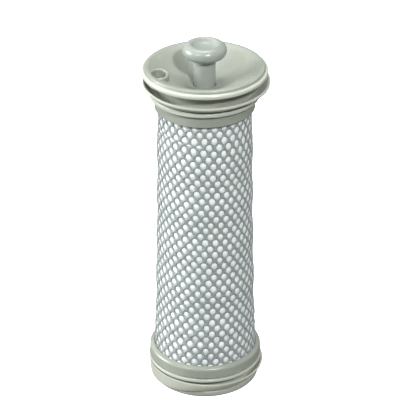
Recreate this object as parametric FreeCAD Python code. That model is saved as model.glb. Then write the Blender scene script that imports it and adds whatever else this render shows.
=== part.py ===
import FreeCAD, Part
import math
import os

# Washable filter cartridge with a pull knob, in millimetres.
# It stands on its base ring, centred on the Z axis, with +Z towards the knob.
# Air comes in through the net and the felt and leaves by the open bore at the foot.

V = FreeCAD.Vector
GAP = 0.05                  # clearance between pieces that are assembled face to face
TINY = 0.2                  # roundings of edges, from the sharpest to the softest
FINE = 0.3
EDGE = 0.45
SOFT = 0.8

# Base ring: the foot and its clip hub
BASE_R = 22.1
BASE_ROUND = 1.4
BASE_TOP = 3.0
BORE_R = 13.9
HUB_R = 15.3
HUB_TOP = 16.6
HUB_BEAD_R = 15.85
HUB_BEAD_LOW = 15.4
HUB_BEAD_HIGH = 15.7
HUB_SLOT_LOW = 9.0
HUB_SLOTS = 6
HUB_SLOT_WIDTH = 2.0

# Bottom collar: neck, flange ring, seam line and band with a rounded shoulder
NECK_LOW = 4.4
NECK_R = 20.4
FLANGE_LOW = 8.0
FLANGE_TOP = 10.6
FLANGE_R = 23.3
FLANGE_RIM_TOP = 9.5        # of its outer ring, below the seam line
SEAM_R = 22.45
SEAM_HEIGHT = 0.45
BAND_R = 23.1
BAND_TOP = 15.0
BAND_ROUND = 1.5
BAND_DRAFT = 0.1
BAND_SHOULDER = 0.6         # fall of the band's top from the sleeve out to its shoulder
COLLAR_WALL_R = 15.4        # bore of the collar's inner wall
COLLAR_WALL_OUT = 16.8

# Sleeve: net over felt over cage; radii are those of the net's outside
HOOP_LOW = 29.1
HOOP_PITCH = 18.8
HOOP_R = (20.7, 20.25, 19.85, 19.55, 19.3)
WAIST_SINK = 0.4
SLEEVE_LOW = 11.9
SLEEVE_TOP = 127.7
SLEEVE_LOW_R = 21.0
SLEEVE_TOP_R = 18.6
NET_THICK = 0.5
FELT_THICK = 1.75
NET_SEAM_WIDTH = 3.0
NET_SEAM_THICK = 0.35
NET_SEAM_GAP = 0.02
NET_SEAM_END = 0.5          # clearance of the seam from the two collars
SLEEVE_FLARE = 0.1          # narrowing of the sleeve up to the bottom collar's mouth
TOP_WAIST_R = 18.85
TOP_MOUTH_R = 18.65

# Support cage
CAGE_IN_LOW = 16.9
CAGE_IN_TOP = 14.6
RIB_THICK = 1.2
RIB_ANGLE = 8.5             # degrees of the circle that one rib covers
RIB_COUNT = 8
RIB_STEP = 0.15             # how far the ribs stand back from the hoops' inside
RIB_BURIED = 1.0
RIB_START = 7.0             # degrees from the X axis to the first rib
HOOP_HEIGHT = 2.6
END_RING_HEIGHT = 5.5

# Top collar: band, flange ring and inner wall
TOP_BAND_LOW = 123.8
TOP_BAND_R = 20.0
TOP_FLANGE_LOW = 129.1
TOP_FLANGE_TOP = 130.9
TOP_FLANGE_R = 21.9
TOP_WALL_R = 12.8
TOP_WALL_OUT = 14.4
TOP_BAND_IN = 18.9
TOP_BAND_DRAFT = 0.2

# Lip seals
LIP_TOP_R = 25.5
LIP_TOP_Z = 135.6
LIP_LOW_R = 24.0
LIP_LOW_Z = 7.3
SEAL_ROOT = 1.3             # thickness of a lip's flat root
LIP_TOP_IN = 16.0
LIP_TOP_RIM = 1.3           # height and width of the upper lip's rim
LIP_TOP_RIM_WIDE = 0.9
LIP_LOW_RIM = 1.2
LIP_LOW_RIM_WIDE = 0.8
LIP_LOW_TURN_R = 21.7       # where the lower lip's underside leaves its root
LIP_LOW_TURN_IN = 20.9
LIP_TOP_TURN_IN = 20.2

# End cap
DISC_R = 25.0
DISC_LOW = 138.2
BEAD_TOP = 140.3
RIDGE_TOP = 141.4
RIDGE_IN = 22.2             # the ridge's crown, from its inner to its outer edge
RIDGE_OUT = 23.6
RIDGE_FOOT = 23.9
BEAD_ROUND = 0.9
DISH_R = 19.7
DISH_TOP = 140.4
DISH_FLOOR_R = 6.2
DISH_FLOOR = 133.3
DISH_ROUND = 1.2
SHELL = 1.6
CAP_NECK_R = 19.4
CAP_NECK_IN = 17.6
SKIRT_R = 12.6
SKIRT_IN = 11.2
SKIRT_LOW = 120.2
SKIRT_BEAD_R = 13.3         # snap bead round the foot of the skirt, and its three heights
SKIRT_BEAD_LOW = 121.5
SKIRT_BEAD_HIGH = 121.95
SKIRT_BEAD_TOP = 122.15
SKIRT_SLOTS = 6
SKIRT_SLOT_WIDTH = 2.2
SKIRT_SLOT_TOP = 129.0
BOSS_R = 7.6
BOSS_LOW = 126.2
SEAM_HOLE_R = 4.55
SEAM_HOLE_DEEP = 0.7
WELL_X = -17.9              # oval well beside the rim, inside a raised rounded lip
WELL_Y = -7.0
WELL_HALF_X = 2.95
WELL_HALF_Y = 3.9
WELL_FLOOR = 137.6
WELL_LIP = 1.1              # width and rounding of its lip
WELL_LIP_ROUND = 0.5
WELL_TOP = 141.25
WELL_FOOT = 136.7

# Pull knob
POST_R = 4.3
POST_LOW = 123.2
POST_NOSE_R = 3.7           # lead-in below the clip's groove
POST_NOSE_TOP = 124.0
POST_RUN = 0.06             # running clearance of the post in the cap
POST_CORE_R = 1.9
HEAD_R = 8.7
HEAD_MID = 148.0
HEAD_HALF = 2.8
HEAD_DISH_R = 5.4
HEAD_DISH_IN = 3.8
HEAD_DISH_ROUND = 2.2
HEAD_DISH_DEEP = 1.7
O_RING_Z = 129.6
O_RING_R = 0.5
O_RING_MID_R = 3.82
GROOVE_R = 3.3
GROOVE_SIDE = 0.15          # room above and below the O-ring in its groove
CLIP_LOW = 125.1
CLIP_THICK = 0.8
CLIP_R = 6.2
CLIP_MOUTH = 5.0


def corner_round(before, corner, after, radius):
    """Ends and middle of the arc that rounds a corner of an outline."""
    back = (before - corner).normalize()
    forth = (after - corner).normalize()
    half = back.getAngle(forth) / 2
    reach = radius / math.tan(half)
    centre = corner + (back + forth).normalize() * (radius / math.sin(half))
    middle = centre + (corner - centre).normalize() * radius
    return corner + back * reach, middle, corner + forth * reach


def outline_edges(corners):
    """Edges of a closed outline of (radius, height) or (radius, height, rounding) corners."""
    places = [V(corner[0], 0, corner[1]) for corner in corners]
    stops = []
    for index, corner in enumerate(corners):
        if len(corner) < 3:
            stops.append((places[index], None, places[index]))
            continue
        before = places[index - 1]
        after = places[(index + 1) % len(corners)]
        stops.append(corner_round(before, places[index], after, corner[2]))
    edges = []
    for index, (start, middle, end) in enumerate(stops):
        if middle is not None:
            edges.append(Part.Arc(start, middle, end).toShape())
        following = stops[(index + 1) % len(stops)][0]
        if (following - end).Length > 1e-4:
            edges.append(Part.LineSegment(end, following).toShape())
    return edges


def spun(edges):
    """Solid that a closed outline sweeps in one turn about the Z axis."""
    face = Part.Face(Part.Wire(edges))
    return face.revolve(V(0, 0, 0), V(0, 0, 1), 360)


def turned(corners):
    return spun(outline_edges(corners))


def block(low_x, high_x, width, low_z, high_z):
    """Box centred on the X axis."""
    size = (high_x - low_x, width, high_z - low_z)
    return Part.makeBox(*size, V(low_x, -width / 2, low_z))


def around(shape, count, start=0.0):
    """Copies of a shape, spread evenly about the Z axis."""
    copies = []
    for index in range(count):
        copy = shape.copy()
        copy.rotate(V(0, 0, 0), V(0, 0, 1), start + 360.0 * index / count)
        copies.append(copy)
    return copies


def sleeve_curve(inset):
    """Edge up the sleeve, a distance inside the net's outer face, bulging at each hoop."""
    points = [V(SLEEVE_LOW_R, 0, SLEEVE_LOW), V(SLEEVE_LOW_R - SLEEVE_FLARE, 0, BAND_TOP + BAND_SHOULDER)]
    for index, radius in enumerate(HOOP_R):
        height = HOOP_LOW + index * HOOP_PITCH
        points.append(V(radius, 0, height))
        if index + 1 < len(HOOP_R):
            waist = (radius + HOOP_R[index + 1]) / 2 - WAIST_SINK
            points.append(V(waist, 0, height + HOOP_PITCH / 2))
    points.append(V(TOP_WAIST_R, 0, TOP_BAND_LOW - HOOP_PITCH / 2))
    points.append(V(TOP_MOUTH_R, 0, TOP_BAND_LOW))
    points.append(V(SLEEVE_TOP_R, 0, SLEEVE_TOP))
    curve = Part.BSplineCurve()
    curve.interpolate([point - V(inset, 0, 0) for point in points])
    return curve.toShape()


def sleeve_tube(outer_inset, inner_inset):
    outer = sleeve_curve(outer_inset)
    inner = sleeve_curve(inner_inset)
    low = Part.LineSegment(inner.Vertexes[0].Point, outer.Vertexes[0].Point).toShape()
    high = Part.LineSegment(outer.Vertexes[-1].Point, inner.Vertexes[-1].Point).toShape()
    return spun([low, outer, high, inner])


def base_ring():
    ring = turned([
        (BORE_R, 0, EDGE),
        (BASE_R, 0, BASE_ROUND),
        (BASE_R, BASE_TOP, EDGE),
        (HUB_R, BASE_TOP),
        (HUB_R, BAND_TOP + GAP),
        (HUB_BEAD_R, HUB_BEAD_LOW),
        (HUB_BEAD_R, HUB_BEAD_HIGH),
        (HUB_R, HUB_TOP, TINY),
        (BORE_R, HUB_TOP, TINY),
    ])
    slot = block(BORE_R - 1, HUB_BEAD_R + 1, HUB_SLOT_WIDTH, HUB_SLOT_LOW, HUB_TOP + 1)
    return ring.cut(around(slot, HUB_SLOTS))


def bottom_lip_seal():
    low = BASE_TOP + GAP
    top = low + SEAL_ROOT
    return turned([
        (COLLAR_WALL_OUT, low),
        (LIP_LOW_TURN_R, low, SOFT),
        (LIP_LOW_R, LIP_LOW_Z - LIP_LOW_RIM, EDGE),
        (LIP_LOW_R, LIP_LOW_Z, FINE),
        (LIP_LOW_R - LIP_LOW_RIM_WIDE, LIP_LOW_Z, FINE),
        (LIP_LOW_TURN_IN, top, EDGE),
        (COLLAR_WALL_OUT, top),
    ])


def bottom_collar():
    seam_top = FLANGE_RIM_TOP + SEAM_HEIGHT
    return turned([
        (COLLAR_WALL_R, NECK_LOW),
        (NECK_R, NECK_LOW),
        (NECK_R, FLANGE_LOW, EDGE),
        (FLANGE_R, FLANGE_LOW, EDGE),
        (FLANGE_R, FLANGE_RIM_TOP, FINE),
        (SEAM_R, FLANGE_RIM_TOP),
        (SEAM_R, seam_top),
        (BAND_R, seam_top, TINY),
        (BAND_R - BAND_DRAFT, BAND_TOP - BAND_SHOULDER, BAND_ROUND),
        (SLEEVE_LOW_R + GAP, BAND_TOP, TINY),
        (SLEEVE_LOW_R + GAP, FLANGE_TOP),
        (COLLAR_WALL_OUT, FLANGE_TOP),
        (COLLAR_WALL_OUT, BAND_TOP, FINE),
        (COLLAR_WALL_R, BAND_TOP, FINE),
    ])


def glue_bead(low, high, inner, outer):
    return turned([(inner, low), (outer, low), (outer, high, FINE), (inner, high, FINE)])


def cage_inner(height):
    """Inner radius of the tapered cage at a height."""
    share = (height - SLEEVE_LOW) / (SLEEVE_TOP - SLEEVE_LOW)
    return CAGE_IN_LOW + (CAGE_IN_TOP - CAGE_IN_LOW) * share


def cage_band(low, high, outer, rounding):
    """One ring of the cage, from its tapered inside out to a straight outside."""
    return turned([
        (cage_inner(low), low),
        (outer, low, rounding),
        (outer, high, rounding),
        (cage_inner(high), high),
    ])


def cage_rib():
    """Upright bar that ends inside the cage's two end rings."""
    low = SLEEVE_LOW + RIB_BURIED
    high = SLEEVE_TOP - RIB_BURIED
    edges = outline_edges([
        (cage_inner(low) + RIB_STEP, low),
        (cage_inner(low) + RIB_STEP + RIB_THICK, low),
        (cage_inner(high) + RIB_STEP + RIB_THICK, high),
        (cage_inner(high) + RIB_STEP, high),
    ])
    face = Part.Face(Part.Wire(edges))
    return face.revolve(V(0, 0, 0), V(0, 0, 1), RIB_ANGLE)


def support_cage():
    wrap = NET_THICK + FELT_THICK + 3 * GAP
    end_wrap = wrap + 2 * GAP
    low_ring = cage_band(SLEEVE_LOW, SLEEVE_LOW + END_RING_HEIGHT, SLEEVE_LOW_R - end_wrap, FINE)
    top_ring = cage_band(SLEEVE_TOP - END_RING_HEIGHT, SLEEVE_TOP, SLEEVE_TOP_R - end_wrap, FINE)
    rings = [top_ring]
    for index, radius in enumerate(HOOP_R):
        middle = HOOP_LOW + index * HOOP_PITCH
        rings.append(cage_band(middle - HOOP_HEIGHT / 2, middle + HOOP_HEIGHT / 2, radius - wrap, EDGE))
    return low_ring.fuse(rings + around(cage_rib(), RIB_COUNT, RIB_START))


def felt_media():
    return sleeve_tube(NET_THICK + GAP, NET_THICK + GAP + FELT_THICK)


def outer_net():
    return sleeve_tube(0, NET_THICK)


def net_seam():
    """Sewn overlap that closes the net, up its back."""
    strip = sleeve_tube(-NET_SEAM_THICK, -NET_SEAM_GAP)
    low = BAND_TOP + NET_SEAM_END
    high = TOP_BAND_LOW - NET_SEAM_END
    slab = block(CAGE_IN_TOP, FLANGE_R, NET_SEAM_WIDTH, low, high)
    slab.rotate(V(0, 0, 0), V(0, 0, 1), 90)
    return strip.common(slab)


def top_collar():
    return turned([
        (TOP_WALL_R, SLEEVE_TOP - END_RING_HEIGHT, FINE),
        (TOP_WALL_OUT, SLEEVE_TOP - END_RING_HEIGHT, FINE),
        (TOP_WALL_OUT, TOP_FLANGE_LOW),
        (TOP_BAND_IN, TOP_FLANGE_LOW),
        (TOP_BAND_IN, TOP_BAND_LOW, TINY),
        (TOP_BAND_R, TOP_BAND_LOW, EDGE),
        (TOP_BAND_R + TOP_BAND_DRAFT, TOP_FLANGE_LOW, FINE),
        (TOP_FLANGE_R, TOP_FLANGE_LOW, EDGE),
        (TOP_FLANGE_R, TOP_FLANGE_TOP, EDGE),
        (TOP_WALL_R, TOP_FLANGE_TOP),
    ])


def top_lip_seal():
    low = TOP_FLANGE_TOP + GAP
    top = low + SEAL_ROOT
    return turned([
        (LIP_TOP_IN, low),
        (NECK_R, low, SOFT),
        (LIP_TOP_R, LIP_TOP_Z - LIP_TOP_RIM, EDGE),
        (LIP_TOP_R, LIP_TOP_Z, EDGE),
        (LIP_TOP_R - LIP_TOP_RIM_WIDE, LIP_TOP_Z, FINE),
        (LIP_TOP_TURN_IN, top + TINY, SOFT),
        (CAP_NECK_R + 2 * GAP, top),
        (LIP_TOP_IN, top),
    ])


def under_dish(radius):
    """Height of the underside of the dish at a radius."""
    slope = (DISH_TOP - DISH_FLOOR) / (DISH_R - DISH_FLOOR_R)
    drop = SHELL * math.hypot(1, slope)
    return DISH_FLOOR + (radius - DISH_FLOOR_R) * slope - drop


def oval(half_x, half_y, low, high):
    """Upright oval column at the well beside the rim."""
    outline = Part.Ellipse(V(0, 0, 0), half_y, half_x).toShape()
    face = Part.Face(Part.Wire(outline))
    column = face.extrude(V(0, 0, high - low))
    column.rotate(V(0, 0, 0), V(0, 0, 1), 90)
    column.translate(V(WELL_X, WELL_Y, low))
    return column


def end_cap():
    neck_low = TOP_FLANGE_TOP + SEAL_ROOT + 2 * GAP
    bore = POST_R + POST_RUN
    body = turned([
        (SEAM_HOLE_R, DISH_FLOOR),
        (DISH_FLOOR_R, DISH_FLOOR, DISH_ROUND),
        (DISH_R, DISH_TOP, SOFT),
        (RIDGE_IN, RIDGE_TOP, SOFT),
        (RIDGE_OUT, RIDGE_TOP, EDGE),
        (RIDGE_FOOT, BEAD_TOP, TINY),
        (DISC_R, BEAD_TOP, BEAD_ROUND),
        (DISC_R, DISC_LOW, SOFT),
        (CAP_NECK_R, DISC_LOW, EDGE),
        (CAP_NECK_R, neck_low),
        (CAP_NECK_IN, neck_low),
        (CAP_NECK_IN, under_dish(CAP_NECK_IN), EDGE),
        (SKIRT_R, under_dish(SKIRT_R), EDGE),
        (SKIRT_R, SKIRT_BEAD_TOP),
        (SKIRT_BEAD_R, SKIRT_BEAD_HIGH),
        (SKIRT_BEAD_R, SKIRT_BEAD_LOW),
        (SKIRT_R, SKIRT_LOW, TINY),
        (SKIRT_IN, SKIRT_LOW, TINY),
        (SKIRT_IN, under_dish(SKIRT_IN), FINE),
        (BOSS_R, under_dish(BOSS_R) - TINY, FINE),
        (BOSS_R, BOSS_LOW, FINE),
        (bore, BOSS_LOW),
        (bore, DISH_FLOOR - SEAM_HOLE_DEEP),
        (SEAM_HOLE_R, DISH_FLOOR - SEAM_HOLE_DEEP),
    ])
    slot = block(SKIRT_IN - 1, SKIRT_BEAD_R + 1, SKIRT_SLOT_WIDTH, SKIRT_LOW - 1, SKIRT_SLOT_TOP)
    body = body.cut(around(slot, SKIRT_SLOTS))
    hollow = oval(WELL_HALF_X, WELL_HALF_Y, WELL_FLOOR, RIDGE_TOP + 1)
    lip = oval(WELL_HALF_X + WELL_LIP, WELL_HALF_Y + WELL_LIP, WELL_FOOT, WELL_TOP).cut(hollow)
    crown = [edge for edge in lip.Edges if edge.BoundBox.ZMin > WELL_TOP - GAP]
    lip = lip.makeFillet(WELL_LIP_ROUND, crown)
    return body.cut(hollow).fuse(lip)


def pull_knob():
    head_top = HEAD_MID + HEAD_HALF
    head_low = HEAD_MID - HEAD_HALF
    roundness = HEAD_HALF - GAP
    groove_half = O_RING_R + GROOVE_SIDE
    clip_top = CLIP_LOW + CLIP_THICK + GAP
    return turned([
        (0, head_top - HEAD_DISH_DEEP),
        (HEAD_DISH_IN, head_top - HEAD_DISH_DEEP, HEAD_DISH_ROUND),
        (HEAD_DISH_R, head_top, SOFT),
        (HEAD_R, head_top, roundness),
        (HEAD_R, head_low, roundness),
        (POST_R, head_low, EDGE),
        (POST_R, O_RING_Z + groove_half),
        (GROOVE_R, O_RING_Z + groove_half),
        (GROOVE_R, O_RING_Z - groove_half),
        (POST_R, O_RING_Z - groove_half),
        (POST_R, clip_top),
        (GROOVE_R, clip_top),
        (GROOVE_R, CLIP_LOW - GAP),
        (POST_R, CLIP_LOW - GAP),
        (POST_R, POST_NOSE_TOP),
        (POST_NOSE_R, POST_LOW),
        (POST_CORE_R, POST_LOW),
        (POST_CORE_R, head_low, SOFT),
        (0, head_low),
    ])


def knob_o_ring():
    return Part.makeTorus(O_RING_MID_R, O_RING_R, V(0, 0, O_RING_Z))


def knob_clip():
    """Open spring clip in the post's groove."""
    inner = GROOVE_R + GAP
    ring = turned([
        (inner, CLIP_LOW),
        (CLIP_R, CLIP_LOW, TINY),
        (CLIP_R, CLIP_LOW + CLIP_THICK, TINY),
        (inner, CLIP_LOW + CLIP_THICK),
    ])
    return ring.cut(block(0, CLIP_R + 1, CLIP_MOUTH, CLIP_LOW - 1, CLIP_LOW + CLIP_THICK + 1))


bottom_bead_low = FLANGE_TOP + GAP
top_bead_low = SLEEVE_TOP + GAP
pieces = {
    "base_ring": base_ring(),
    "bottom_lip_seal": bottom_lip_seal(),
    "bottom_collar": bottom_collar(),
    "bottom_glue_bead": glue_bead(
        bottom_bead_low, SLEEVE_LOW - GAP, COLLAR_WALL_OUT + GAP, SLEEVE_LOW_R),
    "support_cage": support_cage(),
    "felt_media": felt_media(),
    "outer_net": outer_net(),
    "net_seam": net_seam(),
    "top_glue_bead": glue_bead(
        top_bead_low, TOP_FLANGE_LOW - GAP, TOP_WALL_OUT + GAP, TOP_BAND_IN - 2 * GAP),
    "top_collar": top_collar(),
    "top_lip_seal": top_lip_seal(),
    "end_cap": end_cap(),
    "pull_knob": pull_knob(),
    "knob_o_ring": knob_o_ring(),
    "knob_clip": knob_clip(),
}

os.makedirs("parts", exist_ok=True)
for name, shape in pieces.items():
    shape.exportStep(f"parts/{name}.step")
    box = shape.BoundBox
    print(f"{name}: solids {len(shape.Solids)}, valid {shape.isValid()}, volume {shape.Volume:.1f},"
          f" z {box.ZMin:.2f} to {box.ZMax:.2f}, radius {box.XMax:.2f}")
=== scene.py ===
import math

import bpy
import numpy as np
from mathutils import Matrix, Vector


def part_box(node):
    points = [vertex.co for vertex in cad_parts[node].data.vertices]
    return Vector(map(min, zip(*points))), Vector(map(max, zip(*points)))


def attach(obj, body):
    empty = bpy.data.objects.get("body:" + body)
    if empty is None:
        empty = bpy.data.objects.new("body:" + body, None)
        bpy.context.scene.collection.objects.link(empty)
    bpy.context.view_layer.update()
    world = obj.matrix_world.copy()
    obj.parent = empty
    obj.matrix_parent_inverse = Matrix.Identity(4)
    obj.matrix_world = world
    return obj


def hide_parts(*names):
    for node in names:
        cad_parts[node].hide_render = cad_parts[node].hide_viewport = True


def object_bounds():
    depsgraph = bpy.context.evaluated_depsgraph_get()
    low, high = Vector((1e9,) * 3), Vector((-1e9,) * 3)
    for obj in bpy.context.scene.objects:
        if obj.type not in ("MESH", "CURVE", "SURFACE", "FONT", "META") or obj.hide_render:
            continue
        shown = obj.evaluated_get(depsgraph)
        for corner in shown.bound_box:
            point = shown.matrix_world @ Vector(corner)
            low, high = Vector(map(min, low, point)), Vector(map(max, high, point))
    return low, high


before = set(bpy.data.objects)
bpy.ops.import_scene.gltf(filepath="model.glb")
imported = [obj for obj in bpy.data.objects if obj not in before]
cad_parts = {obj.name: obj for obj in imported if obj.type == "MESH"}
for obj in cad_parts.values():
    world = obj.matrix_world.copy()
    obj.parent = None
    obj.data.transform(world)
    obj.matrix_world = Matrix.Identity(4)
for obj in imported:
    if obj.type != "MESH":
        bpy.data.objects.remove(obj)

# Washable filter cartridge: a knitted net over white felt between two grey end pieces,
# each with a soft lip seal, and a pull knob in the dished end cap. Metres throughout.

cad_low, cad_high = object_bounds()
MM = 0.001
DRAW = np.random.default_rng(11)

# Sleeve: places of the net's holes
HOLES_ROUND = 29
ROW_COUNT = 43
ROW_STEP = 2.65 * MM
FIRST_ROW = 13.95 * MM
HOLE_HALF_WIDTH = 1.23 * MM
HOLE_HALF_HEIGHT = 1.34 * MM
HOLE_WANDER = 0.11 * MM
HOLE_SPREAD = 0.07
NET_TWIST = 2.05            # radians per metre that the columns of holes lean by
NET_THICK = 0.5 * MM
FELT_DEPTH = 0.56 * MM      # of the felt under the net's threads, below the net's crest
FELT_WALL = 1.75 * MM

# Lips and seam
LIP_STEPS = 96              # cross-sections round each lip
SEAM_ROWS = 140
SEAM_COLUMNS = 9            # points across the strip, an odd number
SEAM_FOOT = 0.06            # height of the strip's edge above the net, mm
SEAM_CROWN = 0.24           # further rise of its middle, mm
SEAM_WAVER = 0.06 * MM
STITCH = 1.1 * MM           # length of one zigzag
STITCH_STEPS = 4
STITCH_SHARE = 0.62         # width of the zigzag, as a share of the strip's half width
STITCH_LIFT = 0.33 * MM
STITCH_END = 1 * MM
THREAD_R = 0.11 * MM

# Colours, as screen values: lighter and darker patches of each
PLASTIC = (142, 147, 137), (131, 136, 126)
# painted highlight: the base ring's grey is the other mouldings' grey painted lighter, for the light its
# rounded front catches
BASE_PLASTIC_HIGHLIT = (156, 161, 150), (145, 150, 139)
KNOB_PLASTIC = (140, 147, 140), (130, 137, 130)
CAGE_PLASTIC = (196, 199, 194), (184, 187, 182)
LIP_RUBBER = (172, 176, 163), (159, 163, 151)
NET_YARN = (156, 164, 165), (100, 109, 109)
# painted highlight: the paler colour laid on the end pieces' outer rings, where they catch the light
RING_HIGHLIGHT = (174, 180, 168)
FLOW_PALER = 10             # added to a plastic's lighter colour along its flow marks
WORN_PALER = 26             # and on its worn edges
SPECK_SHARE = 0.82          # of the darker colour, in its specks

# Painted highlight: the outer rings of the end pieces, painted paler where their rounded fronts catch the
# light
CAP_RING_WIDE = 0.9 * MM
TOP_RING_TALL = 2.3 * MM
BOTTOM_RING_TOP = 5.25 * MM     # above the foot of the bottom collar's neck
RING_SOFT = 0.15 * MM

# Camera, in metres and degrees
EYE = (0.00205, -0.8006, 0.5247)
EYE_DOWN = 29.24
EYE_LENS = 194.06


# ---------------------------------------------------------------- meshes

def piece(name, points, faces, body, uvs=None):
    """Smooth mesh piece from arrays of points and of faces, on a body of the frame."""
    mesh = bpy.data.meshes.new(name)
    mesh.from_pydata([tuple(p) for p in points], [], [tuple(f) for f in faces])
    if uvs is not None:
        layer = mesh.uv_layers.new(name="strands")
        layer.data.foreach_set("uv", np.asarray(uvs, np.float32).ravel())
    mesh.shade_smooth()
    made = bpy.data.objects.new(name, mesh)
    bpy.context.scene.collection.objects.link(made)
    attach(made, body)
    return made


def sleeve_profile():
    """Heights and outer radii up the net, read from its CAD node."""
    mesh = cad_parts["outer_net"].data
    points = np.empty(len(mesh.vertices) * 3)
    mesh.vertices.foreach_get("co", points)
    points = points.reshape(-1, 3)
    radii = np.hypot(points[:, 0], points[:, 1])
    edges = np.linspace(points[:, 2].min(), points[:, 2].max(), 60)
    bins = np.digitize(points[:, 2], edges)
    chosen = [np.flatnonzero(bins == b)[radii[bins == b].argmax()] for b in np.unique(bins)]
    order = np.argsort(points[chosen, 2])
    return points[chosen, 2][order], radii[chosen][order]


PROFILE_Z, PROFILE_R = sleeve_profile()
SLEEVE_LOW, SLEEVE_HIGH = PROFILE_Z[0], PROFILE_Z[-1]
SLEEVE_MIDDLE = (SLEEVE_LOW + SLEEVE_HIGH) / 2


def sleeve_radius(height):
    return np.interp(height, PROFILE_Z, PROFILE_R)


def pulled(angle, height):
    """Height at which a point of the knitted sleeve ends up, where it was pulled askew and creased."""
    across = np.sin(angle) * sleeve_radius(height)
    skew = np.interp(height, np.array([16, 22, 60, 100, 110, 118]) * MM, [0, 0.035, 0.08, 0.088, 0.1, 0.0])
    crease = 114.3 * MM - 0.11 * across
    away = (height - crease) / (2.2 * MM)
    reach = np.clip((3 * MM - across) / (8 * MM), 0, 1) * (np.cos(angle) > 0)
    pinch = -0.64 * (height - crease) * np.exp(-away ** 2) * reach
    ends = np.clip((height - SLEEVE_LOW) / (5 * MM), 0, 1) * np.clip((SLEEVE_HIGH - height) / (5 * MM), 0, 1)
    return height + (pinch - skew * across) * ends


def on_sleeve(angle, height, depth):
    """Points a depth inside the net's crest; angle 0 faces the front and grows to the right."""
    height = np.clip(pulled(angle, height), SLEEVE_LOW, SLEEVE_HIGH)
    radius = sleeve_radius(height) - depth
    return np.stack([radius * np.sin(angle), -radius * np.cos(angle), height], -1)


def cell_outline():
    """The 16 points round one hole's share of the net, across in half pitches and up in metres."""
    half = math.pi * 19.7 * MM / HOLES_ROUND
    low = (ROW_STEP ** 2 - half ** 2) / (2 * ROW_STEP)
    high = (ROW_STEP ** 2 + half ** 2) / (2 * ROW_STEP)
    corners = [(1, -low), (1, low), (0, high), (-1, low), (-1, -low), (0, -high)]
    points = []
    for index, (x, y) in enumerate(corners):
        next_x, next_y = corners[(index + 1) % len(corners)]
        steps = 2 if next_x == x else 3
        for step in range(steps):
            share = step / steps
            points.append((x + (next_x - x) * share, y + (next_y - y) * share))
    return np.array(points)


OUTLINE = cell_outline()
SPOKES = len(OUTLINE)
PITCH = 2 * math.pi / HOLES_ROUND
HOLE_SIZE = 1 + HOLE_SPREAD * DRAW.uniform(-1, 1, (ROW_COUNT, HOLES_ROUND))
HOLE_SHIFT = HOLE_WANDER * DRAW.uniform(-1, 1, (ROW_COUNT, HOLES_ROUND, 2))


def cell_ring(row, column, share, scale, depth):
    """One ring of 16 points of a cell: share goes from the cell's border, 0, to the hole's edge, 1."""
    angle = (column + 0.5 * (row % 2)) * PITCH
    height = FIRST_ROW + row * ROW_STEP
    here = sleeve_radius(height)
    turn = np.arctan2(OUTLINE[:, 1] / HOLE_HALF_HEIGHT, OUTLINE[:, 0] * here * PITCH / 2 / HOLE_HALF_WIDTH)
    size = HOLE_SIZE[row, column] * scale
    shift = HOLE_SHIFT[row, column]
    hole_x = (shift[0] + size * HOLE_HALF_WIDTH * np.cos(turn)) / here
    hole_y = shift[1] + size * HOLE_HALF_HEIGHT * np.sin(turn)
    x = OUTLINE[:, 0] * PITCH / 2 * (1 - share) + hole_x * share
    y = OUTLINE[:, 1] * (1 - share) + hole_y * share
    twist = NET_TWIST * (height + y - SLEEVE_MIDDLE)
    return on_sleeve(angle + x + twist, height + y, depth)


def merged(points, faces, uvs=None):
    """The same mesh with points in the same place made one."""
    _, first, where = np.unique(np.round(points / (0.002 * MM)).astype(np.int64), axis=0,
                                return_index=True, return_inverse=True)
    where = where.ravel()
    kept = []
    kept_uvs = []
    for index, face in enumerate(faces):
        corners = [int(where[p]) for p in face]
        if len(set(corners)) == len(corners):
            kept.append(corners)
            if uvs is not None:
                kept_uvs.extend(uvs[index])
    return points[first], kept, (kept_uvs if uvs is not None else None)


def knitted(rings, filled):
    """Points, faces and strand coordinates of a tube made of cells, from rings of (share, scale, depth).

    A filled tube has a wall at its first ring and a floor in each cell at its last ring."""
    first = 1 if filled else 0
    last = len(rings) - 1
    points = []
    faces = []
    uvs = []
    for row in range(ROW_COUNT):
        for column in range(HOLES_ROUND):
            base = len(points) * SPOKES
            for share, scale, depth in rings:
                points.append(cell_ring(row, column, share, scale, depth))
            for spoke in range(SPOKES):
                after = (spoke + 1) % SPOKES
                for ring in range(first, last):
                    low = base + ring * SPOKES
                    high = low + SPOKES
                    faces.append((low + spoke, low + after, high + after, high + spoke))
                    near, far = ring / last, (ring + 1) / last
                    foot, top = spoke / SPOKES, (spoke + 1) / SPOKES
                    uvs.append([(foot, near), (top, near), (top, far), (foot, far)])
                ends = OUTLINE[[spoke, after], :]
                leaning = abs(ends[0, 0] - ends[1, 0]) > 1e-6
                lowest = row == 0 and ends[:, 1].mean() < 0
                highest = row == ROW_COUNT - 1 and ends[:, 1].mean() > 0
                if leaning and (lowest or highest):
                    outer = base + first * SPOKES
                    inner = base if filled else base + last * SPOKES
                    faces.append((outer + after, outer + spoke, inner + spoke, inner + after))
                    uvs.append([(0, 0), (1, 0), (1, 1), (0, 1)])
            if filled:
                faces.append([base + spoke for spoke in reversed(range(SPOKES))])
                faces.append([base + last * SPOKES + spoke for spoke in range(SPOKES)])
                uvs.extend([[(0, 0)] * SPOKES, [(0, 0)] * SPOKES])
    return merged(np.concatenate(points), faces, uvs)


def net_sleeve():
    """Knitted net: a border of thread round each hole, front, edge and back."""
    corner_or_side = (np.abs(OUTLINE[:, 0]) > 0.99) | (np.abs(OUTLINE[:, 0]) < 0.01)
    knot = np.where(corner_or_side, 0.05 * MM, 0.0)
    rings = [
        (0.0, 1.0, -knot),
        (0.5, 1.0, 0.02 * MM),
        (1.0, 1.0, 0.26 * MM),
        (0.72, 1.0, 0.45 * MM),
        (0.0, 1.0, NET_THICK),
    ]
    points, faces, uvs = knitted(rings, False)
    made = piece("net_sleeve", points, faces, "cartridge", uvs)
    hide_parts("outer_net")
    return made


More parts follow.
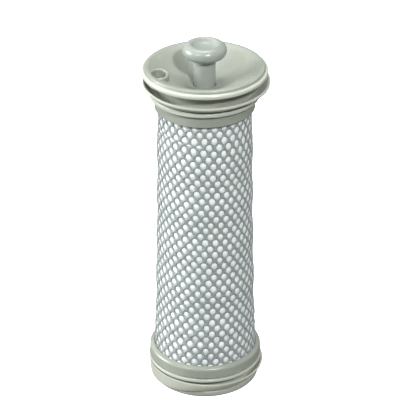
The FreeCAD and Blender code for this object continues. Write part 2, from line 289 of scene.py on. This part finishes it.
def felt_sleeve():
    """White felt that bulges a little through each hole of the net."""
    rings = [
        (0.0, 1.0, FELT_DEPTH + FELT_WALL),
        (0.0, 1.0, FELT_DEPTH),
        (1.0, 1.0, 0.5 * MM),
        (1.0, 0.8, 0.32 * MM),
        (1.0, 0.42, 0.2 * MM),
    ]
    points, faces, _ = knitted(rings, True)
    made = piece("felt_sleeve", points, faces, "cartridge")
    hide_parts("felt_media")
    return made


def ring_sweep(name, profile_at, steps, body):
    """Closed ring whose cross-section, a loop of (radius, height) in mm, changes with the angle."""
    points = []
    for step in range(steps):
        angle = 2 * math.pi * step / steps
        for radius, height in profile_at(angle):
            points.append((radius * math.sin(angle) * MM, -radius * math.cos(angle) * MM, height * MM))
    size = len(points) // steps
    faces = []
    for step in range(steps):
        after = (step + 1) % steps
        for spot in range(size):
            other = (spot + 1) % size
            faces.append((step * size + spot, after * size + spot, after * size + other, step * size + other))
    made = piece(name, points, faces, body)
    smooth = made.modifiers.new("smooth", "SUBSURF")
    smooth.levels = 2
    smooth.render_levels = 2
    return made


def mixed(loops, weights):
    """Weighted mean of cross-sections with the same number of points."""
    total = sum(weights)
    return [tuple(sum(w * loop[i][k] for loop, w in zip(loops, weights)) / total for k in (0, 1))
            for i in range(len(loops[0]))]


def top_lip():
    """Upper lip: a thin flared skirt, a little askew, that dips in front and stands proud at the right."""
    def profile_at(angle):
        right = math.sin(angle)
        front = math.cos(angle)
        rim = 25.25 + 0.65 * right
        top = 135.0 + 0.45 * abs(right) - 0.35 * front + 0.12 * math.sin(3 * angle + 0.8)
        return [
            (16.0, 130.97), (18.5, 130.97), (20.6, 130.97), (21.6, 131.35), (23.3, 132.5),
            (rim - 0.25, top - 1.25), (rim + 0.02, top - 0.85), (rim + 0.02, top - 0.2), (rim - 0.35, top),
            (rim - 0.95, top - 0.1), (22.6, 133.3), (20.6, 132.35), (19.8, 132.24), (18.0, 132.24),
            (16.0, 132.24),
        ]
    made = ring_sweep("top_lip", profile_at, LIP_STEPS, "cartridge")
    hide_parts("top_lip_seal")
    return made


def bottom_lip():
    """Lower lip: flared at the right, rolled down over the base ring at the left."""
    flared = [(17, 3.05), (19.5, 3.05), (21.9, 3.08), (22.3, 3.9), (22.9, 4.9), (23.9, 5.75), (24.15, 6.2),
              (24.1, 6.55), (23.5, 6.6), (22.3, 5.3), (21.5, 4.6), (20.6, 4.32), (18.8, 4.32), (17, 4.32)]
    rolled = [(17, 3.05), (20, 3.05), (22.3, 3.05), (22.4, 1.25), (22.85, 0.9), (23.0, 2.9), (23.05, 5.3),
              (23.3, 7.1), (23.4, 7.85), (22.85, 7.75), (22.35, 6.3), (21.6, 4.9), (20.4, 4.32), (17, 4.32)]
    front = [(17, 3.05), (20, 3.05), (21.9, 3.06), (22.4, 3.3), (23.1, 4.2), (23.75, 5.6), (23.95, 6.7),
             (23.8, 7.3), (23.2, 7.35), (22.5, 6.1), (21.7, 4.8), (20.5, 4.32), (18.8, 4.32), (17, 4.32)]

    def profile_at(angle):
        left = -math.sin(angle)
        towards_left = max(0.0, left) ** 0.8
        towards_right = max(0.0, -left) ** 0.8
        middle = 1 - abs(left) ** 0.8
        return mixed([rolled, flared, front], [towards_left, towards_right, middle])
    made = ring_sweep("bottom_lip", profile_at, LIP_STEPS, "cartridge")
    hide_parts("bottom_lip_seal")
    return made


def tube(path, radius, sides=6):
    """Points and faces of a round thread along a path, open at its ends."""
    path = np.asarray(path)
    ahead = np.gradient(path, axis=0)
    ahead /= np.linalg.norm(ahead, axis=1, keepdims=True)
    side = np.cross(ahead, np.array([0, 1, 0.0]))
    side /= np.linalg.norm(side, axis=1, keepdims=True)
    over = np.cross(side, ahead)
    turn = np.arange(sides) / sides * 2 * math.pi
    spread = np.cos(turn)[:, None] * side[:, None] + np.sin(turn)[:, None] * over[:, None]
    points = path[:, None] + radius * spread
    faces = []
    for step in range(len(path) - 1):
        for spot in range(sides):
            after = (spot + 1) % sides
            low = step * sides
            high = low + sides
            faces.append((low + spot, low + after, high + after, high + spot))
    faces.append(tuple(range(sides - 1, -1, -1)))
    faces.append(tuple((len(path) - 1) * sides + spot for spot in range(sides)))
    return points.reshape(-1, 3), faces


def seam():
    """Sewn overlap up the net's back, with a zigzag of thread over it."""
    low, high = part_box("net_seam")
    rows = np.linspace(low.z, high.z, SEAM_ROWS)
    across = np.linspace(-1, 1, SEAM_COLUMNS)
    half = high.x
    points = []
    for lift in (1, 0):
        for row, z in enumerate(rows):
            waver = SEAM_WAVER * math.sin(row * 0.9)
            angle = math.pi + (across * half + waver) / sleeve_radius(z)
            crown = SEAM_FOOT + SEAM_CROWN * (1 - across ** 4) * lift
            radius = sleeve_radius(z) + crown * MM
            level = np.full(SEAM_COLUMNS, z)
            points.append(np.stack([radius * np.sin(angle), -radius * np.cos(angle), level], -1))
    points = np.concatenate(points)
    faces = []
    for row in range(SEAM_ROWS - 1):
        for spot in range(SEAM_COLUMNS - 1):
            a = row * SEAM_COLUMNS + spot
            above = a + SEAM_COLUMNS
            faces.append((a, above, above + 1, a + 1))
            b = a + SEAM_ROWS * SEAM_COLUMNS
            above = b + SEAM_COLUMNS
            faces.append((b, b + 1, above + 1, above))
    strip = piece("seam_strip", points, faces, "cartridge")
    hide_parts("net_seam")
    steps = int((high.z - low.z) / STITCH) * STITCH_STEPS
    path = []
    for step in range(steps):
        z = low.z + STITCH_END + (high.z - low.z - 2 * STITCH_END) * step / steps
        swing = 2 / math.pi * math.asin(math.sin(step * math.pi / STITCH_STEPS))
        angle = math.pi + swing * half * STITCH_SHARE / sleeve_radius(z)
        radius = sleeve_radius(z) + STITCH_LIFT
        path.append((radius * math.sin(angle), -radius * math.cos(angle), z))
    points, faces = tube(path, THREAD_R)
    thread = piece("seam_thread", points, faces, "cartridge")
    return strip, thread


# ---------------------------------------------------------------- materials

def linear(red, green, blue):
    """Colour for a shader from screen values of 0 to 255."""
    values = [((v / 255 + 0.055) / 1.055) ** 2.4 if v > 10 else v / 255 / 12.92 for v in (red, green, blue)]
    return (*values, 1.0)


class Surface:
    """A node material, with short calls that add nodes and link them."""

    def __init__(self, name, coords="Object"):
        self.material = bpy.data.materials.new(name)
        self.material.use_nodes = True
        self.tree = self.material.node_tree
        self.shader = self.tree.nodes["Principled BSDF"]
        self.coords = self.add("ShaderNodeTexCoord").outputs[coords]

    def add(self, kind, links=(), **settings):
        node = self.tree.nodes.new(kind)
        for key, value in settings.items():
            if key in node.inputs:
                node.inputs[key].default_value = value
            else:
                setattr(node, key, value)
        for socket, source in dict(links).items():
            self.tree.links.new(source, node.inputs[socket])
        return node

    def stretched(self, stretch):
        """Coordinates drawn out along the axes."""
        return self.add("ShaderNodeMapping", {"Vector": self.coords}, Scale=stretch).outputs["Vector"]

    def noise(self, size, detail=4.0, rough=0.55, stretch=None):
        """Noise whose lumps are of a size in millimetres."""
        source = self.coords if stretch is None else self.stretched(stretch)
        node = self.add("ShaderNodeTexNoise", {"Vector": source}, Scale=1000 / size, Detail=detail,
                        Roughness=rough)
        return node.outputs["Fac"]

    def ramp(self, value, stops):
        """Colours or greys along a value, from (place, colour) pairs."""
        node = self.add("ShaderNodeValToRGB", {"Fac": value})
        band = node.color_ramp
        while len(band.elements) < len(stops):
            band.elements.new(0.5)
        for element, (place, colour) in zip(band.elements, stops):
            element.position = place
            element.color = colour if len(np.shape(colour)) else (colour, colour, colour, 1.0)
        return node.outputs["Color"]

    def mix(self, first, second, share, way="MIX"):
        node = self.add("ShaderNodeMix", data_type="RGBA", blend_type=way)
        for socket, value in ((6, first), (7, second), (0, share)):
            if isinstance(value, (float, int, tuple)):
                node.inputs[socket].default_value = value
            else:
                self.tree.links.new(value, node.inputs[socket])
        return node.outputs[2]

    def range(self, value, low, high):
        node = self.add("ShaderNodeMapRange", {"Value": value})
        node.inputs["To Min"].default_value = low
        node.inputs["To Max"].default_value = high
        return node.outputs["Result"]

    def step(self, value, place, soft):
        """0 below a place along a value and 1 above it, with a soft change."""
        node = self.add("ShaderNodeMapRange", {"Value": value})
        node.inputs["From Min"].default_value = place - soft
        node.inputs["From Max"].default_value = place + soft
        return node.outputs["Result"]

    def bump(self, height, deep, before=None):
        """Bump of a depth in millimetres, on top of another."""
        links = {"Height": height}
        if before is not None:
            links["Normal"] = before
        return self.add("ShaderNodeBump", links, Strength=1.0, Distance=deep * MM).outputs["Normal"]

    def set(self, socket, value):
        if isinstance(value, (float, int, tuple)):
            self.shader.inputs[socket].default_value = value
        else:
            self.tree.links.new(value, self.shader.inputs[socket])


def moulded(name, light, dark, ring=None):
    """Injection-moulded plastic: clouded colour, fine spark grain, paler worn edges and dark specks.

    ring, if given, takes the Surface and returns a value that is 1 on an outer ring, which gets a painted
    highlight of a paler colour, and 0 elsewhere."""
    s = Surface(name)
    cloud = s.noise(14, 5.0)
    colour = s.ramp(cloud, [(0.3, linear(*dark)), (0.7, linear(*light))])
    flow = s.noise(9, 3.0, stretch=(1, 1, 0.25))
    colour = s.mix(colour, linear(*[min(255, v + FLOW_PALER) for v in light]), s.range(flow, -0.12, 0.32))
    # painted highlight: the outer ring is painted paler where it catches the light
    if ring is not None:
        colour = s.mix(colour, linear(*RING_HIGHLIGHT), ring(s))
    point = s.add("ShaderNodeNewGeometry").outputs["Pointiness"]
    edge = s.ramp(point, [(0.5, 0.0), (0.6, 1.0)])
    worn = s.mix(edge, (0.0, 0.0, 0.0, 1.0), s.range(s.noise(2.5), 0.0, 1.2))
    colour = s.mix(colour, linear(*[min(255, v + WORN_PALER) for v in light]), s.range(worn, 0.0, 0.35))
    specks = s.ramp(s.noise(0.5, 2.0), [(0.66, 0.0), (0.72, 1.0)])
    colour = s.mix(colour, linear(*[v * SPECK_SHARE for v in dark]), s.range(specks, 0.0, 0.18))
    s.set("Base Color", colour)
    s.set("Roughness", s.range(s.noise(3.0, 4.0), 0.24, 0.34))
    s.set("Specular IOR Level", 0.45)
    soft = s.bump(s.noise(6.0, 2.0), 0.03)
    s.set("Normal", s.bump(s.noise(0.22, 2.0), 0.006, soft))
    return s.material


def cap_edge_highlight(s):
    """1 on the end cap's outer edge, where a highlight is painted."""
    across = s.add("ShaderNodeVectorMath", {0: s.stretched((1, 1, 0))}, operation="LENGTH").outputs["Value"]
    return s.step(across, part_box("end_cap")[1].x - CAP_RING_WIDE, RING_SOFT)


def top_flange_highlight(s):
    """1 on the flange at the top of the top collar, where a highlight is painted."""
    height = s.add("ShaderNodeSeparateXYZ", {0: s.coords}).outputs["Z"]
    return s.step(height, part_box("top_collar")[1].z - TOP_RING_TALL, RING_SOFT)


def bottom_flange_highlight(s):
    """1 on the flange below the seam line of the bottom collar, where a highlight is painted."""
    height = s.add("ShaderNodeSeparateXYZ", {0: s.coords}).outputs["Z"]
    above = s.step(height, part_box("bottom_collar")[0].z + BOTTOM_RING_TOP, RING_SOFT)
    node = s.add("ShaderNodeMath", {1: above}, operation="SUBTRACT")
    node.inputs[0].default_value = 1.0
    return node.outputs["Value"]


def elastomer(name, light, dark):
    """Soft moulded seal: dull sheen, faint drag marks round the ring, dust."""
    s = Surface(name)
    colour = s.ramp(s.noise(7, 5.0), [(0.3, linear(*dark)), (0.7, linear(*light))])
    dust = s.ramp(s.noise(0.35, 3.0), [(0.62, 0.0), (0.75, 1.0)])
    colour = s.mix(colour, linear(232, 234, 226), s.range(dust, 0.0, 0.3))
    s.set("Base Color", colour)
    s.set("Roughness", s.range(s.noise(2.0, 4.0), 0.5, 0.72))
    s.set("Specular IOR Level", 0.35)
    s.set("Sheen Weight", 0.12)
    s.set("Sheen Roughness", 0.5)
    drag = s.bump(s.noise(1.4, 3.0, stretch=(0.35, 0.35, 3.0)), 0.02)
    s.set("Normal", s.bump(s.noise(0.12, 2.0), 0.004, drag))
    return s.material


def yarn(name, light, dark):
    """Textured polyester yarn: filaments that follow the holes, loose fibres, cloudy dye."""
    s = Surface(name, "UV")
    strands = s.stretched((3.0, 26.0, 1.0))
    filaments = s.add("ShaderNodeTexNoise", {"Vector": strands}, Scale=1.0, Detail=3.0).outputs["Fac"]
    s.coords = s.add("ShaderNodeTexCoord").outputs["Object"]
    fibre = s.noise(0.16, 3.0, stretch=(1, 1, 0.4))
    tone = s.mix(filaments, fibre, 0.45)
    colour = s.ramp(tone, [(0.36, linear(*dark)), (0.62, linear(*light))])
    cloud = s.noise(8, 4.0)
    colour = s.mix(colour, linear(*light), s.range(cloud, -0.1, 0.35))
    s.set("Base Color", colour)
    s.set("Roughness", s.range(fibre, 0.55, 0.8))
    s.set("Specular IOR Level", 0.3)
    s.set("Sheen Weight", 0.35)
    s.set("Sheen Roughness", 0.4)
    twist = s.bump(filaments, 0.12)
    s.set("Normal", s.bump(fibre, 0.05, twist))
    return s.material


def felt(name):
    """Needled white felt: matted fibres and a soft sheen."""
    s = Surface(name)
    mat = s.noise(0.28, 6.0, 0.7)
    loft = s.noise(1.6, 4.0)
    colour = s.ramp(mat, [(0.3, linear(200, 207, 204)), (0.6, linear(228, 233, 231))])
    colour = s.mix(colour, linear(228, 232, 226), s.range(loft, 0.0, 0.4))
    s.set("Base Color", colour)
    s.set("Roughness", s.range(mat, 0.8, 0.95))
    s.set("Specular IOR Level", 0.2)
    s.set("Sheen Weight", 0.3)
    s.set("Sheen Roughness", 0.6)
    s.set("Normal", s.bump(mat, 0.08, s.bump(loft, 0.1)))
    return s.material


def steel(name):
    """Brushed spring steel."""
    s = Surface(name)
    brushed = s.noise(0.5, 3.0, stretch=(1, 1, 6))
    s.set("Base Color", s.ramp(brushed, [(0.3, linear(150, 152, 154)), (0.7, linear(196, 198, 200))]))
    s.set("Metallic", 1.0)
    s.set("Roughness", s.range(brushed, 0.24, 0.42))
    s.set("Normal", s.bump(brushed, 0.008))
    return s.material


def rubber(name):
    """Dull black rubber."""
    s = Surface(name)
    s.set("Base Color", s.ramp(s.noise(0.6, 4.0), [(0.3, linear(34, 35, 36)), (0.7, linear(56, 57, 58))]))
    s.set("Roughness", s.range(s.noise(0.3), 0.45, 0.65))
    s.set("Normal", s.bump(s.noise(0.15), 0.006))
    return s.material


def potting(name):
    """Cured glue: glossy, faintly yellow, with a flowed surface and small bubbles."""
    s = Surface(name)
    s.set("Base Color", s.ramp(s.noise(3.0), [(0.3, linear(214, 208, 186)), (0.7, linear(232, 228, 212))]))
    s.set("Roughness", s.range(s.noise(1.2), 0.2, 0.4))
    bubbles = s.add("ShaderNodeTexVoronoi", {"Vector": s.coords}, Scale=1100.0).outputs["Distance"]
    s.set("Normal", s.bump(bubbles, 0.02, s.bump(s.noise(2.5), 0.15)))
    return s.material


def paint(thing, material):
    thing.data.materials.clear()
    thing.data.materials.append(material)


# ---------------------------------------------------------------- build

net = net_sleeve()
wadding = felt_sleeve()
upper_lip = top_lip()
lower_lip = bottom_lip()
seam_strip, seam_thread = seam()

knob_grey = moulded("knob_plastic", *KNOB_PLASTIC)
lip_grey = elastomer("lip_rubber", *LIP_RUBBER)
cage_white = moulded("cage_plastic", *CAGE_PLASTIC)
net_yarn = yarn("net_yarn", *NET_YARN)
white_felt = felt("white_felt")
glue = potting("potting_glue")

# each grey end piece gets a painted highlight on its outer ring
for name, ring in (("end_cap", cap_edge_highlight), ("top_collar", top_flange_highlight), ("bottom_collar", bottom_flange_highlight)):
    paint(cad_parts[name], moulded(name + "_plastic", *PLASTIC, ring=ring))
# the base ring's moulding is painted lighter, a painted highlight
paint(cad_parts["base_ring"], moulded("base_plastic", *BASE_PLASTIC_HIGHLIT))
paint(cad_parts["pull_knob"], knob_grey)
paint(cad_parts["support_cage"], cage_white)
for name in ("top_glue_bead", "bottom_glue_bead"):
    paint(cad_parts[name], glue)
paint(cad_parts["knob_o_ring"], rubber("o_ring_rubber"))
paint(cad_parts["knob_clip"], steel("clip_steel"))
for thing in (net, seam_strip, seam_thread):
    paint(thing, net_yarn)
paint(wadding, white_felt)
for thing in (upper_lip, lower_lip):
    paint(thing, lip_grey)


# ---------------------------------------------------------------- room, lights, camera

def white_floor():
    mesh = bpy.data.meshes.new("floor")
    reach = 6.0
    corners = [(-reach, -reach, 0), (reach, -reach, 0), (reach, reach, 0), (-reach, reach, 0)]
    mesh.from_pydata(corners, [], [(0, 1, 2, 3)])
    made = bpy.data.objects.new("floor", mesh)
    bpy.context.scene.collection.objects.link(made)
    s = Surface("floor_white")
    s.set("Base Color", s.ramp(s.noise(40), [(0.3, linear(246, 246, 246)), (0.7, linear(250, 250, 250))]))
    s.set("Roughness", s.range(s.noise(20), 0.7, 0.9))
    s.set("Emission Color", (1.0, 1.0, 1.0, 1.0))
    s.set("Emission Strength", 0.85)
    paint(made, s.material)
    made.visible_diffuse = False    # no light thrown back up at the object
    made.visible_glossy = False     # nor mirrored in it


def area_light(name, place, aim, size, power):
    light = bpy.data.lights.new(name, "AREA")
    light.shape = "DISK"
    light.size = size
    light.energy = power
    made = bpy.data.objects.new(name, light)
    made.location = place
    towards = aim - made.location
    made.rotation_euler = towards.to_track_quat("-Z", "Y").to_euler()
    bpy.context.scene.collection.objects.link(made)


white_floor()
middle = (cad_low + cad_high) / 2
for name, offset, size, power in (
    ("left", (-1.5, 0.1, 0.45), 0.8, 38.0),
    ("front_left", (-0.76, -0.98, 1.02), 0.16, 7.6),
    ("front_right", (0.41, -1.15, 1.04), 0.16, 21.6),
    ("right", (1.4, 0.3, 0.5), 0.7, 1.0),
    ("top", (0.0, 0.3, 1.5), 0.9, 18.0),
):
    area_light(name, middle + Vector(offset), middle, size, power)

world = bpy.data.worlds.new("soft_room")
bpy.context.scene.world = world
world.use_nodes = True
world.node_tree.nodes["Background"].inputs["Color"].default_value = (1.0, 1.0, 1.0, 1.0)
world.node_tree.nodes["Background"].inputs["Strength"].default_value = 0.28

camera = bpy.data.cameras.new("camera")
camera.sensor_width = 36.0
camera.lens = EYE_LENS
camera.clip_start = 0.05
camera.clip_end = 50.0
eye = bpy.data.objects.new("camera", camera)
eye.location = EYE
eye.rotation_euler = (math.radians(90 - EYE_DOWN), 0.0, 0.0)
bpy.context.scene.collection.objects.link(eye)
bpy.context.scene.camera = eye
bpy.context.scene.view_settings.view_transform = "Standard"
